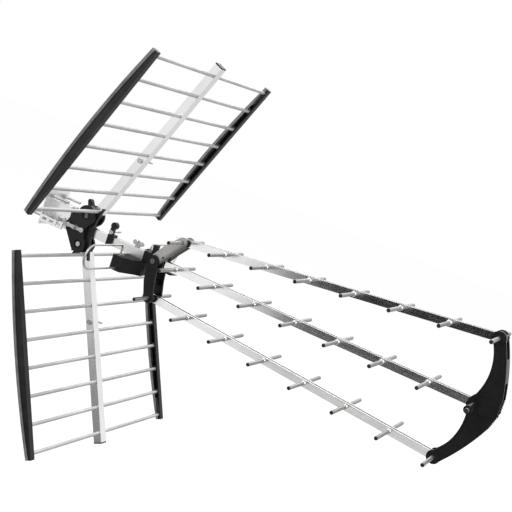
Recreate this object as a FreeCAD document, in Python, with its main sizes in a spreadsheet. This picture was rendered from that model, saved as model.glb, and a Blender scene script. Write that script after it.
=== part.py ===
"""Outdoor UHF antenna: corner reflector, folded dipole, three booms of directors and a mast clamp.

Millimetres, +Z up. The origin is on the mast's axis, level with the main boom's axis. +X is the
way the antenna points, and +Y is its left side seen from behind.
"""
import FreeCAD, Part
import math
import os
import re

import Sketcher
from FreeCAD import Placement, Rotation, Vector

doc = FreeCAD.newDocument("outdoor_antenna")
sheet = doc.addObject("Spreadsheet::Sheet", "Sizes")

# Driving dimensions
SIZES = [
    # Mast clamp
    ("mast_diameter", 38),
    ("sheet_thickness", 2.5),
    ("bracket_width", 84),
    ("bracket_top", 58),
    ("bracket_bottom", -24),
    ("cheek_length", 59),
    ("cheek_top", 36),
    ("cheek_bottom", -18),
    ("rail_length", 90),
    ("rail_height", 16),
    ("rail_slot_pitch", 20),
    ("bolt_diameter", 6),
    ("u_bolt_upper_z", 45),
    ("u_bolt_lower_z", -8),
    ("u_bolt_leg", 76),
    ("jaw_depth", 10),
    ("jaw_height", 22),
    ("nut_width", 10),
    ("nut_height", 5),
    ("bolt_stand", 14),
    ("tilt_pivot_x", 60),
    ("tilt_lock_radius", 15),
    ("tilt_travel", 31),
    # Main boom
    ("boom_side", 20),
    ("boom_wall", 1.5),
    ("boom_rear_x", 36),
    ("boom_front_x", 350),
    # Director booms
    ("channel_width", 16),
    ("channel_height", 16),
    ("channel_wall", 1.4),
    ("channel_slot", 6),
    ("channel_rear", 22),
    ("channel_front", 12),
    ("middle_rear_x", 250),
    # Directors
    ("director_pitch", 100),
    ("director_diameter", 6.6),
    ("director_bore", 5),
    ("director_first_length", 156),
    ("director_last_length", 180),
    ("first_director_x", 382.8),
    ("cap_diameter", 8.4),
    ("cap_length", 8),
    # Folding linkage
    ("rear_pivot_x", 330.5),
    ("rear_arm_length", 82),
    ("front_arm_length", 135),
    ("upper_rest_angle", 50),
    ("lower_rest_angle", 79),
    ("pin_diameter", 8),
    ("arm_wall", 4),
    ("rear_eye", 14),
    ("rear_knee_x", 45),
    ("rear_knee_drop", 3),
    ("rear_knee_radius", 13.5),
    ("rear_tip_radius", 11.5),
    ("rear_bridge", 13),
    ("front_eye", 17),
    ("front_tip_radius", 14),
    ("front_sweep", 21),
    ("front_bulge", 3.6),
    ("heel_nose", 13),
    ("heel_depth", 46),
    ("heel_round", 12),
    ("heel_flat", 22),
    ("grip_pitch", 4.2),
    ("front_bridge_start", 57),
    ("front_bridge", 44),
    ("recess_depth", 1),
    ("recess_rim", 4),
    ("dimple_radius", 2.2),
    ("sleeve_length", 62),
    ("collar_diameter", 24),
    ("collar_thickness", 3),
    ("upper_slot_offset", 3.2),
    ("upper_slot_rearward", -0.6),
    ("upper_slot_forward", 3),
    ("upper_slot_room", 3.5),
    ("lower_slot_offset", -1.4),
    ("lower_slot_rearward", 2.75),
    ("lower_slot_forward", 0.25),
    ("lower_slot_room", 1.6),
    # Rear joint block
    ("block_rear", 33),
    ("block_front", 21),
    ("block_wall", 3),
    ("post_offset", 14),
    ("post_length", 8),
    ("post_width", 16),
    ("post_top", 32),
    ("beak_reach", 34),
    ("beak_drop", 5),
    # Reflector
    ("hub_pivot_x", 133),
    ("hub_pivot_z", 34),
    ("upper_panel_angle", 65.6),
    ("lower_panel_angle", 64.9),
    ("beam_side", 20),
    ("beam_wall", 1.5),
    ("beam_start", 20),
    ("rod_diameter", 8),
    ("rod_bore", 6.4),
    ("rod_length", 523),
    ("rod_pitch", 58),
    ("rod_start", 25.7),
    ("rod_offset", 13.5),
    ("rod_in_beam", 5),
    ("beam_end_margin", 22),
    ("panel_bolt_gap", 2.65),
    ("foot_eye_diameter", 18),
    ("catch_along", 21),
    ("catch_across", 27),
    ("catch_radius", 5),
    ("screw_diameter", 5),
    ("screw_head_diameter", 11),
    ("bar_width", 24),
    ("bar_end_width", 14),
    ("bar_depth", 13),
    ("bar_wall", 2.4),
    ("bar_rib", 14),
    ("bar_end_margin", 12),
    ("bar_groove", 1.6),
    ("bar_groove_depth", 0.8),
    # Hub
    ("hub_half_width", 15),
    ("hub_far_width", 6),
    ("hub_horn_layer", 8),
    ("hub_bolt_x", 116),
    ("hub_rear_inset", 12),
    ("hub_rear_radius", 18),
    ("hub_upper_lobe", 24),
    ("hub_lower_lobe", 20),
    ("hub_face_reach", 9.5),
    ("hub_face_height", 46),
    ("hub_face_rise", 10.4),
    ("hub_far_setback", 5),
    ("hub_horn_reach", 36),
    ("hub_horn_height", 62),
    ("hub_horn_rise", 13),
    ("hub_horn_width", 4.5),
    ("screw_recess", 3),
    ("screw_recess_radius", 9.5),
    # Junction box and dipole
    ("dipole_x", 270),
    ("dipole_wire", 4.4),
    ("dipole_reach", 192),
    ("dipole_top", 15),
    ("dipole_bottom", -38),
    ("dipole_riser_y", 60),
    ("dipole_corner", 8),
    ("box_end_margin", 6),
    ("box_rear_x", 256),
    ("box_end_width", 26),
    ("box_middle_width", 50.5),
    ("box_middle_half", 16.5),
    ("box_bottom", -44),
    ("box_split", -19),
    ("box_wall", 2.5),
    ("socket_diameter", 9.5),
    ("socket_length", 11),
    ("socket_y", 26),
    # Small parts
    ("clip_x", 203),
    ("clip_width", 10),
    ("clip_depth", 8),
    ("clip_neck_height", 20),
    ("clip_knob_radius", 8),
    ("clip_screw_height", 11),
    ("clip_screw_length", 40),
    ("wing_reach", 15),
    ("wing_ear", 5.5),
    ("hub_wing_reach", 25),
    ("cap_end", 2),
    ("wing_hub_height", 9),
    ("wing_thickness", 2.5),
    ("play", 0.3),
    ("fit_gap", 0.1),
]

# Dimensions that follow from the driving ones
FOLLOWING = [
    ("mast_radius", "=mast_diameter / 2"),
    ("web_x", "=mast_radius + jaw_depth / 2"),
    ("boom_half", "=boom_side / 2"),
    ("channel_half", "=channel_width / 2"),
    ("block_half", "=boom_half + block_wall"),
    ("front_pivot_x", "=first_director_x + 7 * director_pitch"),
    ("boom_span", "=7 * director_pitch"),
    ("upper_tip_x", "=rear_pivot_x + rear_arm_length * cos(upper_rest_angle)"),
    ("upper_tip_z", "=rear_arm_length * sin(upper_rest_angle)"),
    ("upper_span_x", "=front_pivot_x - upper_tip_x"),
    ("upper_diagonal", "=sqrt(upper_span_x ^ 2 + upper_tip_z ^ 2)"),
    ("upper_pitch", "=acos((boom_span ^ 2 + upper_diagonal ^ 2 - front_arm_length ^ 2)"
                    " / (2 * boom_span * upper_diagonal)) / 1 deg"
                    " - atan(upper_tip_z / upper_span_x) / 1 deg"),
    ("upper_end_x", "=upper_tip_x + boom_span * cos(upper_pitch)"),
    ("upper_end_z", "=upper_tip_z + boom_span * sin(upper_pitch)"),
    ("upper_front_angle", "=90 - atan((upper_end_x - front_pivot_x) / upper_end_z) / 1 deg"),
    ("lower_tip_x", "=rear_pivot_x + rear_arm_length * cos(lower_rest_angle)"),
    ("lower_tip_z", "=rear_arm_length * sin(lower_rest_angle)"),
    ("lower_span_x", "=front_pivot_x - lower_tip_x"),
    ("lower_diagonal", "=sqrt(lower_span_x ^ 2 + lower_tip_z ^ 2)"),
    ("lower_pitch", "=acos((boom_span ^ 2 + lower_diagonal ^ 2 - front_arm_length ^ 2)"
                    " / (2 * boom_span * lower_diagonal)) / 1 deg"
                    " - atan(lower_tip_z / lower_span_x) / 1 deg"),
    ("lower_end_x", "=lower_tip_x + boom_span * cos(lower_pitch)"),
    ("lower_end_z", "=lower_tip_z + boom_span * sin(lower_pitch)"),
    ("lower_front_angle", "=90 - atan((lower_end_x - front_pivot_x) / lower_end_z) / 1 deg"),
    ("beam_centre", "=rod_offset - rod_in_beam"),
    ("beam_length", "=rod_start + 7 * rod_pitch + beam_end_margin - beam_start"),
    ("bar_length", "=7 * rod_pitch + 2 * bar_end_margin"),
    ("box_half_length", "=dipole_riser_y + box_end_margin"),
    ("dipole_end_radius", "=(dipole_top - dipole_bottom) / 2"),
    ("upper_arm_inner", "=block_half + play"),
    ("upper_arm_outer", "=upper_arm_inner + arm_wall"),
    ("lower_arm_inner", "=upper_arm_outer + play"),
    ("lower_arm_outer", "=lower_arm_inner + arm_wall"),
    ("front_lower_inner", "=channel_half + 2 * play"),
    ("front_lower_outer", "=front_lower_inner + arm_wall"),
    ("front_upper_inner", "=front_lower_outer + play"),
    ("front_upper_outer", "=front_upper_inner + arm_wall"),
]

DIRECTORS = 8
GRIPS = 6
GROOVES = 3
RODS = 8
UP = Vector(0, -1, 0)
DOWN = Vector(0, 1, 0)
ALIASES = {alias for alias, _ in SIZES + FOLLOWING}
nodes = {}

for row, (alias, content) in enumerate(SIZES + FOLLOWING, start=1):
    sheet.set("A%d" % row, alias)
    sheet.set("B%d" % row, str(content))
    sheet.setAlias("B%d" % row, alias)
doc.recompute()


def in_sheet(formula):
    """A formula with the sheet's name put before each of its sizes."""
    return re.sub(r"[A-Za-z_]\w*",
                  lambda word: "Sizes." + word.group() if word.group() in ALIASES else word.group(),
                  str(formula))


def number(formula):
    """The value that a formula has now."""
    result = sheet.evalExpression(in_sheet(formula))
    return float(getattr(result, "Value", result))


def bind(thing, prop, formula):
    """Tie a property to the sheet."""
    thing.setExpression(prop, in_sheet(formula))


def place(thing, x="0", y="0", z="0", axis=None, angle="0"):
    """Put a thing at a point, turned about an axis, all tied to the sheet."""
    turn = Rotation(axis, number(angle)) if axis is not None else Rotation()
    thing.Placement = Placement(Vector(number(x), number(y), number(z)), turn)
    bind(thing, "Placement.Base.x", x)
    bind(thing, "Placement.Base.y", y)
    bind(thing, "Placement.Base.z", z)
    if axis is not None and angle not in ("90", "180"):
        bind(thing, "Placement.Rotation.Angle", angle)
    return thing


def keep(label, thing):
    """Keep a finished sub-part under its own name."""
    thing.Label = label
    nodes[label] = thing
    return thing


# Plain solids

def block(name, x, y, z, length, width, height):
    """A box from its lowest corner."""
    thing = doc.addObject("Part::Box", name)
    bind(thing, "Length", length)
    bind(thing, "Width", width)
    bind(thing, "Height", height)
    return place(thing, x, y, z)


def round_bar(name, radius, length, x, y, z, along="Y"):
    """A cylinder that starts at a point and runs along +X, +Y or +Z."""
    thing = doc.addObject("Part::Cylinder", name)
    bind(thing, "Radius", radius)
    bind(thing, "Height", length)
    axis = {"X": Vector(0, 1, 0), "Y": Vector(-1, 0, 0), "Z": None}[along]
    return place(thing, x, y, z, axis, "90")


def cross_bar(name, radius, length, x, z):
    """A cylinder along Y, centred on the antenna's middle plane."""
    return round_bar(name, radius, length, x, "-(%s) / 2" % length, z)


def fuse(name, parts):
    thing = doc.addObject("Part::MultiFuse", name)
    thing.Shapes = parts
    return thing


def cut(name, base, tool):
    thing = doc.addObject("Part::Cut", name)
    thing.Base = base
    thing.Tool = tool
    return thing


def group(name, parts):
    """Separate solids of one kind, kept together in one node."""
    thing = doc.addObject("Part::Compound", name)
    thing.Links = parts
    return thing


# Sketched bodies

def new_body(name):
    return doc.addObject("PartDesign::Body", name)


def new_sketch(body, name, role, lift=None):
    """A sketch on one of the body's own planes, lifted along that plane's normal."""
    sketch = body.newObject("Sketcher::SketchObject", name)
    plane = [feature for feature in body.Origin.OriginFeatures if feature.Role == role][0]
    sketch.AttachmentSupport = (plane, "")
    sketch.MapMode = "FlatFace"
    if lift is not None:
        bind(sketch, "AttachmentOffset.Base.z", lift)
    return sketch


def pin_point(sketch, geometry, point, x, y):
    """Tie a point of the sketch to two formulas."""
    index = sketch.addConstraint(Sketcher.Constraint("DistanceX", geometry, point, number(x)))
    bind(sketch, "Constraints[%d]" % index, x)
    index = sketch.addConstraint(Sketcher.Constraint("DistanceY", geometry, point, number(y)))
    bind(sketch, "Constraints[%d]" % index, y)


def draw_outline(sketch, points, arcs=None):
    """A closed outline through points given as formulas.

    arcs gives the radius of an edge that is an arc, and 1 where it bulges to the left of its
    way from one point to the next, or -1 to the right.
    """
    arcs = arcs or {}
    corners = [Vector(number(x), number(y), 0) for x, y in points]
    count = len(corners)
    first = sketch.GeometryCount
    ends = []
    for index, start in enumerate(corners):
        end = corners[(index + 1) % count]
        if index not in arcs:
            sketch.addGeometry(Part.LineSegment(start, end), False)
            ends.append((1, 2))
            continue
        radius, side = number(arcs[index][0]), arcs[index][1]
        chord = end - start
        rise = radius - math.sqrt(max(radius ** 2 - chord.Length ** 2 / 4, 0))
        left = Vector(-chord.y, chord.x, 0).normalize()
        crown = (start + end) / 2 + left * rise * side
        sketch.addGeometry(Part.Arc(start, crown, end), False)
        ends.append((2, 1) if side > 0 else (1, 2))
    for index in range(count):
        following = (index + 1) % count
        sketch.addConstraint(Sketcher.Constraint("Coincident", first + index, ends[index][1],
                                                 first + following, ends[following][0]))
    for index, (x, y) in enumerate(points):
        pin_point(sketch, first + index, ends[index][0], x, y)
    for index, (radius, _) in arcs.items():
        constraint = sketch.addConstraint(
            Sketcher.Constraint("Radius", first + index, number(radius)))
        bind(sketch, "Constraints[%d]" % constraint, radius)
    return sketch


def draw_circle(sketch, x, y, radius):
    centre = Vector(number(x), number(y), 0)
    index = sketch.addGeometry(Part.Circle(centre, Vector(0, 0, 1), number(radius)), False)
    pin_point(sketch, index, 3, x, y)
    constraint = sketch.addConstraint(Sketcher.Constraint("Radius", index, number(radius)))
    bind(sketch, "Constraints[%d]" % constraint, radius)
    return sketch


def draw_tapered(sketch, start, end):
    """Two round ends, each (x, y, radius) in formulas, joined by their outer tangents."""
    first = Vector(number(start[0]), number(start[1]), 0)
    last = Vector(number(end[0]), number(end[1]), 0)
    near, far = number(start[2]), number(end[2])
    along = last - first
    bearing = Rotation(Vector(1, 0, 0), along)
    lean = Rotation(Vector(0, 0, 1), math.degrees(math.acos((near - far) / along.Length)))
    upper = bearing.multVec(lean.multVec(Vector(1, 0, 0)))
    lower = bearing.multVec(lean.inverted().multVec(Vector(1, 0, 0)))
    back = bearing.multVec(Vector(-1, 0, 0))
    front = bearing.multVec(Vector(1, 0, 0))
    rear_arc = Part.Arc(first + upper * near, first + back * near, first + lower * near)
    front_arc = Part.Arc(last + lower * far, last + front * far, last + upper * far)
    a = sketch.addGeometry(rear_arc, False)
    b = sketch.addGeometry(Part.LineSegment(first + lower * near, last + lower * far), False)
    c = sketch.addGeometry(front_arc, False)
    d = sketch.addGeometry(Part.LineSegment(last + upper * far, first + upper * near), False)
    for left, left_end, right, right_end in ((a, 2, b, 1), (b, 2, c, 1), (c, 2, d, 1), (d, 2, a, 1)):
        sketch.addConstraint(Sketcher.Constraint("Tangent", left, left_end, right, right_end))
    for arc, values in ((a, start), (c, end)):
        pin_point(sketch, arc, 3, values[0], values[1])
        index = sketch.addConstraint(Sketcher.Constraint("Radius", arc, number(values[2])))
        bind(sketch, "Constraints[%d]" % index, values[2])
    return sketch


def pad(body, sketch, length, reverse=False, middle=True):
    feature = body.newObject("PartDesign::Pad", sketch.Name + "_pad")
    feature.Profile = sketch
    bind(feature, "Length", length)
    feature.Midplane = middle
    feature.Reversed = reverse
    return feature


def pocket(body, sketch, length, reverse=False, middle=True):
    feature = body.newObject("PartDesign::Pocket", sketch.Name + "_pocket")
    feature.Profile = sketch
    bind(feature, "Length", length)
    feature.Midplane = middle
    feature.Reversed = reverse
    return feature


def pad_tapered(body, name, start, end, length):
    return pad(body, draw_tapered(new_sketch(body, name, "XZ_Plane"), start, end), length)


def pocket_polygon(body, name, points, length, role="XZ_Plane"):
    return pocket(body, draw_outline(new_sketch(body, name, role), points), length)


def pocket_circle(body, name, x, z, radius, length="bracket_width"):
    return pocket(body, draw_circle(new_sketch(body, name, "XZ_Plane"), x, z, radius), length)


# Clearances, holes and seats shared by several pieces

BOLT_HOLE = "bolt_diameter / 2 + fit_gap"
PIN_HOLE = "pin_diameter / 2 + fit_gap"
ROD_HOLE = "director_diameter / 2 + fit_gap"
ROD_SEAT = "rod_diameter / 2 + fit_gap"
SCREW_HOLE = "screw_diameter / 2 + fit_gap"
ACROSS = "2 * bracket_width"


# Mast clamp: folded bracket, two U-bolts with toothed jaws, nuts and the boom's two bolts

def mast_bracket():
    """Folded steel: a web against the mast, two cheeks for the boom, side rails and a tongue."""
    half = "bracket_width / 2"
    web = block("bracket_web", "web_x", "-" + half, "bracket_bottom",
                "sheet_thickness", "bracket_width", "bracket_top - bracket_bottom")
    cheek_y = "boom_half + play"
    parts = [web]
    for side, y in (("near", "-(%s) - sheet_thickness" % cheek_y), ("far", cheek_y)):
        cheek = block("bracket_cheek_" + side, "web_x", y, "cheek_bottom",
                      "cheek_length", "sheet_thickness", "cheek_top - cheek_bottom")
        parts.append(cheek)
    for side, y in (("near", "-" + half), ("far", half + " - sheet_thickness")):
        parts.append(block("bracket_rail_" + side, "web_x", y, "-rail_height",
                           "rail_length - web_x", "sheet_thickness", "rail_height"))
    tongue_width = "2 * (boom_half + play + sheet_thickness)"
    parts.append(block("bracket_tongue", "web_x", "-(%s) / 2" % tongue_width,
                       "cheek_top - sheet_thickness", "cheek_length - (%s) / 2" % tongue_width,
                       tongue_width, "sheet_thickness"))
    parts.append(round_bar("bracket_tongue_end", "(%s) / 2" % tongue_width, "sheet_thickness",
                           "web_x + cheek_length - (%s) / 2" % tongue_width, "0",
                           "cheek_top - sheet_thickness", "Z"))
    holes = []
    hole = "bolt_diameter / 2 + fit_gap"
    for name, z in (("upper", "u_bolt_upper_z"), ("lower", "u_bolt_lower_z")):
        for side, sign in (("near", "-"), ("far", "")):
            holes.append(round_bar("web_hole_%s_%s" % (name, side), hole, "4 * sheet_thickness",
                                   "web_x - sheet_thickness",
                                   sign + "(mast_radius + bolt_diameter / 2 + play)", z, "X"))
    holes.append(cross_bar("tilt_pivot_hole", hole, "bracket_width", "tilt_pivot_x", "0"))
    slot_half = "(bolt_diameter / 2 + play)"
    inner = "(tilt_lock_radius - %s)" % slot_half
    outer = "(tilt_lock_radius + %s)" % slot_half
    sector = []
    for name, radius in (("outer", outer), ("inner", inner)):
        round_part = cross_bar("tilt_slot_" + name, radius, "bracket_width", "0", "0")
        bind(round_part, "Angle", "tilt_travel")
        sector.append(round_part)
    holes.append(place(cut("tilt_slot", sector[0], sector[1]), "tilt_pivot_x", "0", "0", UP,
                       "tilt_travel / 2"))
    for side, sign in (("upper", ""), ("lower", "-")):
        holes.append(cross_bar("tilt_slot_end_" + side, slot_half, "bracket_width",
                               "tilt_pivot_x + tilt_lock_radius * cos(tilt_travel / 2)",
                               sign + "tilt_lock_radius * sin(tilt_travel / 2)"))
    holes.append(round_bar("tongue_hole", hole, "3 * sheet_thickness", "web_x + cheek_length / 2",
                           "0", "cheek_top - 2 * sheet_thickness", "Z"))
    for index in range(3):
        holes.append(block("rail_slot_%d" % index, "web_x + 8 + %d * rail_slot_pitch" % index,
                           "-bracket_width", "-rail_height * 0.7", "rail_slot_pitch * 0.6",
                           "2 * bracket_width", "rail_height * 0.4"))
    keep("mast_bracket", cut("mast_bracket_cut", fuse("mast_bracket_fuse", parts),
                             fuse("mast_bracket_holes", holes)))


def u_bolt(name, z):
    """Round bar bent about the mast, with a toothed jaw that lies on the mast's front."""
    ring = "mast_radius + bolt_diameter / 2 + play"
    bend = doc.addObject("Part::Torus", name + "_bend")
    bind(bend, "Radius1", ring)
    bind(bend, "Radius2", "bolt_diameter / 2")
    bend.Angle3 = 180
    place(bend, "0", "0", z, Vector(0, 0, 1), "90")
    parts = [bend]
    for side, sign in (("near", "-"), ("far", "")):
        parts.append(round_bar("%s_leg_%s" % (name, side), "bolt_diameter / 2", "u_bolt_leg",
                               "0", "%s(%s)" % (sign, ring), z, "X"))
    keep(name, fuse(name + "_fuse", parts))


def hex_nut(name, x, y, z, along):
    """A plain hexagonal nut that starts at a point and runs along +X, +Y or +Z."""
    nut = doc.addObject("Part::Prism", name + "_hexagon")
    nut.Polygon = 6
    bind(nut, "Circumradius", "nut_width / 2 / cos(30)")
    bind(nut, "Height", "nut_height")
    axis = {"X": Vector(0, 1, 0), "Y": Vector(-1, 0, 0), "Z": None}[along]
    place(nut, x, y, z, axis, "90")
    start = {"X": (x + " - nut_height", y, z), "Y": (x, y + " - nut_height", z),
             "Z": (x, y, z + " - nut_height")}[along]
    bore = round_bar(name + "_bore", BOLT_HOLE, "3 * nut_height", *start, along)
    return cut(name, nut, bore)


def jaw(label, z):
    """A hardened saddle between the web and the mast, with a round seat."""
    low = "%s - jaw_height / 2" % z
    body = block(label + "_block", "mast_radius * 0.42", "-(mast_radius - play)", low,
                 "web_x - mast_radius * 0.42", "2 * (mast_radius - play)", "jaw_height")
    seat = round_bar(label + "_seat", "mast_radius", "3 * jaw_height", "0", "0",
                     "%s - 1.5 * jaw_height" % z, "Z")
    keep(label, cut(label + "_cut", body, seat))


def clamp_hardware():
    """Nuts of the U-bolts, the tongue's bolt, and the bolts that carry and lock the boom's tilt."""
    leg = "(mast_radius + bolt_diameter / 2 + play)"
    front = "web_x + sheet_thickness"
    nuts = [hex_nut("clamp_nut_%s_%s" % (level, side), front, sign + leg, z, "X")
            for level, z in (("upper", "u_bolt_upper_z"), ("lower", "u_bolt_lower_z"))
            for side, sign in (("near", "-"), ("far", ""))]
    keep("clamp_nuts", group("clamp_nut_group", nuts))

    cheek = "(boom_half + play + sheet_thickness)"
    for label, x in (("tilt_pivot_bolt", "tilt_pivot_x"),
                     ("tilt_lock_bolt", "tilt_pivot_x + tilt_lock_radius")):
        gap = "0" if label == "tilt_pivot_bolt" else "play"
        reach = "(%s + %s)" % (cheek, gap)
        bolt = fuse(label + "_fuse", [
            round_bar(label + "_shank", "bolt_diameter / 2", "2 * %s + nut_height + play" % reach,
                      x, "-" + reach, "0"),
            round_bar(label + "_head", "bolt_diameter * 0.85", "nut_height * 0.8", x,
                      "-%s - nut_height * 0.8" % reach, "0")])
        keep(label, group(label + "_group", [bolt, hex_nut(label + "_nut", x, reach, "0", "Y")]))

    x, top = "web_x + cheek_length / 2", "cheek_top"
    bolt = fuse("tongue_bolt_fuse", [
        round_bar("tongue_bolt_shank", "bolt_diameter / 2", "bolt_stand", x, "0",
                  top + " - bolt_stand", "Z"),
        round_bar("tongue_bolt_head", "bolt_diameter * 0.85", "nut_height * 0.8", x, "0", top,
                  "Z")])
    nut = hex_nut("tongue_nut", x, "0", top + " - sheet_thickness - nut_height", "Z")
    keep("tongue_bolt", group("tongue_bolt_group", [bolt, nut]))


mast_bracket()
u_bolt("u_bolt_upper", "u_bolt_upper_z")
u_bolt("u_bolt_lower", "u_bolt_lower_z")
jaw("upper_jaw", "u_bolt_upper_z")
jaw("lower_jaw", "u_bolt_lower_z")
clamp_hardware()


# Square tubes and channels

def tube_body(name, start, length, side, wall, height="0"):
    """A square tube along +X whose axis lies at a given height."""
    body = new_body(name)
    sketch = new_sketch(body, name + "_section", "YZ_Plane", start)
    for half in ("(%s) / 2" % side, "((%s) / 2 - %s)" % (side, wall)):
        draw_outline(sketch, [("-" + half, "%s - %s" % (height, half)),
                              (half, "%s - %s" % (height, half)),
                              (half, "%s + %s" % (height, half)),
                              ("-" + half, "%s + %s" % (height, half))])
    pad(body, sketch, length, middle=False)
    return body


def channel_body(name, start, length):
    """The directors' boom: a channel whose top lips leave a slot along it."""
    body = new_body(name)
    sketch = new_sketch(body, name + "_section", "YZ_Plane", start)
    half, high = "channel_width / 2", "channel_height / 2"
    inner, floor = "(channel_width / 2 - channel_wall)", "(channel_height / 2 - channel_wall)"
    slot = "channel_slot / 2"
    outline = [(half, "-" + high), (half, high), (slot, high), (slot, floor), (inner, floor),
               (inner, "-" + floor)]
    mirrored = [("-" + y, z) for y, z in reversed(outline)]
    draw_outline(sketch, outline + mirrored)
    pad(body, sketch, length, middle=False)
    return body


def pocket_row(body, name, first_x, step, count, radius, length=ACROSS, z="0"):
    """Round holes along Y in a row."""
    sketch = new_sketch(body, name, "XZ_Plane")
    for index in range(count):
        draw_circle(sketch, "%s + %d * %s" % (first_x, index, step), z, radius)
    return pocket(body, sketch, length)


def upright_hole(body, name, x, radius):
    """A round hole along Z."""
    sketch = draw_circle(new_sketch(body, name, "XY_Plane"), x, "0", radius)
    return pocket(body, sketch, "3 * boom_side")


def main_boom():
    """The square tube from the mast clamp to the rear joint block."""
    body = tube_body("main_boom_body", "boom_rear_x", "boom_front_x - boom_rear_x",
                     "boom_side", "boom_wall")
    for name, x in (("tilt_hole", "tilt_pivot_x"),
                    ("lock_hole", "tilt_pivot_x + tilt_lock_radius"), ("hub_hole", "hub_bolt_x")):
        pocket_circle(body, "main_boom_" + name, x, "0", BOLT_HOLE)
    pocket_circle(body, "main_boom_pin_hole", "rear_pivot_x", "0", PIN_HOLE)
    upright_hole(body, "main_boom_joint_hole", "dipole_x", BOLT_HOLE)
    keep("main_boom", body)
    inside = "(boom_half - boom_wall - fit_gap)"
    keep("boom_end_cap", fuse("boom_end_cap_fuse", [
        block("boom_end_cap_plate", "boom_rear_x - cap_end", "-boom_half", "-boom_half",
              "cap_end", "boom_side", "boom_side"),
        block("boom_end_cap_plug", "boom_rear_x", "-" + inside, "-" + inside, "boom_half",
              "2 * " + inside, "2 * " + inside)]))


def middle_boom():
    """The middle channel, pushed into the main boom and bolted there."""
    body = channel_body("middle_boom_body", "middle_rear_x",
                        "front_pivot_x + channel_front - middle_rear_x")
    pocket_row(body, "middle_boom_holes", "first_director_x", "director_pitch", DIRECTORS, ROD_HOLE)
    pocket_circle(body, "middle_boom_pin_hole", "rear_pivot_x", "0", PIN_HOLE)
    upright_hole(body, "middle_boom_joint_hole", "dipole_x", BOLT_HOLE)
    keep("middle_boom", body)


def outer_boom(name, x, z, angle, axis):
    """An upper or lower channel, hinged at its first and last directors."""
    body = channel_body(name + "_body", "-channel_rear", "channel_rear + boom_span + channel_front")
    pocket_row(body, name + "_holes", "0", "director_pitch", DIRECTORS, ROD_HOLE)
    keep(name, place(body, x, "0", z, axis, angle))


def tube_across(name, outer, inner, length, x, z):
    """A round tube along Y."""
    return cut(name, cross_bar(name + "_outer", outer, length, x, z),
               cross_bar(name + "_bore", inner, "(%s) + 2" % length, x, z))


def directors(boom, x, z, angle, axis, first_x="0"):
    """Eight director tubes and the plastic caps on their ends."""
    tubes, caps = [], []
    for index in range(DIRECTORS):
        at = "%s + %d * director_pitch" % (first_x, index)
        length = ("(director_first_length + (director_last_length - director_first_length)"
                  " * %d / 7)" % index)
        name = "%s_director_%d" % (boom, index)
        tubes.append(tube_across(name, "director_diameter / 2", "director_bore / 2",
                                 length + " - 2 * cap_end", at, "0"))
        for side, start, bore in (("near", "-%s / 2" % length, "-%s / 2 + cap_end" % length),
                                  ("far", "%s / 2 - cap_length" % length,
                                   "%s / 2 - cap_length - cap_end" % length)):
            cap = "%s_cap_%s" % (name, side)
            caps.append(cut(cap,
                            round_bar(cap + "_outer", "cap_diameter / 2", "cap_length", at, start, "0"),
                            round_bar(cap + "_bore", "director_diameter / 2", "cap_length",
                                      at, bore, "0")))
    keep(boom + "_directors", place(group(boom + "_director_group", tubes), x, "0", z, axis, angle))
    keep(boom + "_director_caps", place(group(boom + "_cap_group", caps), x, "0", z, axis, angle))


# Folding arms

def arc_radius(rise, length):
    """The radius of an arc that rises over a chord."""
    return "((%s) / 2 + (%s) ^ 2 / (8 * (%s)))" % (rise, length, rise)


def rear_arm_web(body, label, front, thick):
    """A knee between two round ends."""
    knee = ("rear_knee_x", "-(%s) * rear_knee_drop" % front, "rear_knee_radius")
    pad_tapered(body, label + "_root", ("0", "0", "rear_eye"), knee, thick)
    pad_tapered(body, label + "_reach", knee, ("rear_arm_length", "0", "rear_tip_radius"), thick)


def front_arm_web(body, label, front, thick):
    """A broad cheek: swept rear edge, bulging front edge and a blunt heel with grip notches."""
    sign = -1 if front == "-1" else 1
    sweep = arc_radius("front_sweep", "front_arm_length")
    points = [("front_arm_length", "-front_tip_radius"), ("0", "-front_eye"), ("-front_eye", "0"),
              ("-heel_nose", "heel_depth - heel_round"), ("heel_round - heel_nose", "heel_depth"),
              ("heel_flat", "heel_depth"), ("front_arm_length", "front_tip_radius"),
              ("front_arm_length + front_tip_radius", "0")]
    arcs = {0: (sweep, -sign), 1: ("front_eye", sign), 3: ("heel_round", sign),
            5: (arc_radius("front_bulge", "front_arm_length - heel_flat"), sign),
            6: ("front_tip_radius", sign), 7: ("front_tip_radius", sign)}
    outline = new_sketch(body, label + "_outline", "XZ_Plane")
    draw_outline(outline, [(x, "%s * (%s)" % (front, z)) for x, z in points], arcs)
    pad(body, outline, thick)
    pocket_row(body, label + "_grips", "heel_round - heel_nose + 2", "grip_pitch", GRIPS,
               "grip_pitch / 3", z="%s * heel_depth" % front)
    start, end = "(heel_flat + recess_rim)", "(front_arm_length - 1.6 * front_tip_radius)"
    panel = [(end, "recess_rim / 4"), (start, "recess_rim / 4"),
             (start, "heel_depth - 2 * recess_rim"), (end, "front_tip_radius - recess_rim / 2")]
    for side, lift, reverse in (("near", "(%s) / 2" % thick, False),
                                ("far", "-(%s) / 2" % thick, True)):
        recess = new_sketch(body, "%s_recess_%s" % (label, side), "XZ_Plane", lift)
        draw_outline(recess, [(x, "%s * (%s)" % (front, z)) for x, z in panel],
                     {0: (sweep, -sign)})
        pocket(body, recess, "recess_depth", reverse=reverse, middle=False)
        dimples = new_sketch(body, "%s_dimples_%s" % (label, side), "XZ_Plane", lift)
        for x, z in (("heel_nose", "front_eye"),
                     ("front_arm_length - 1.3 * front_tip_radius", "0")):
            draw_circle(dimples, x, "%s * %s" % (front, z), "dimple_radius")
        pocket(body, dimples, "recess_depth", reverse=reverse, middle=False)


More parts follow.
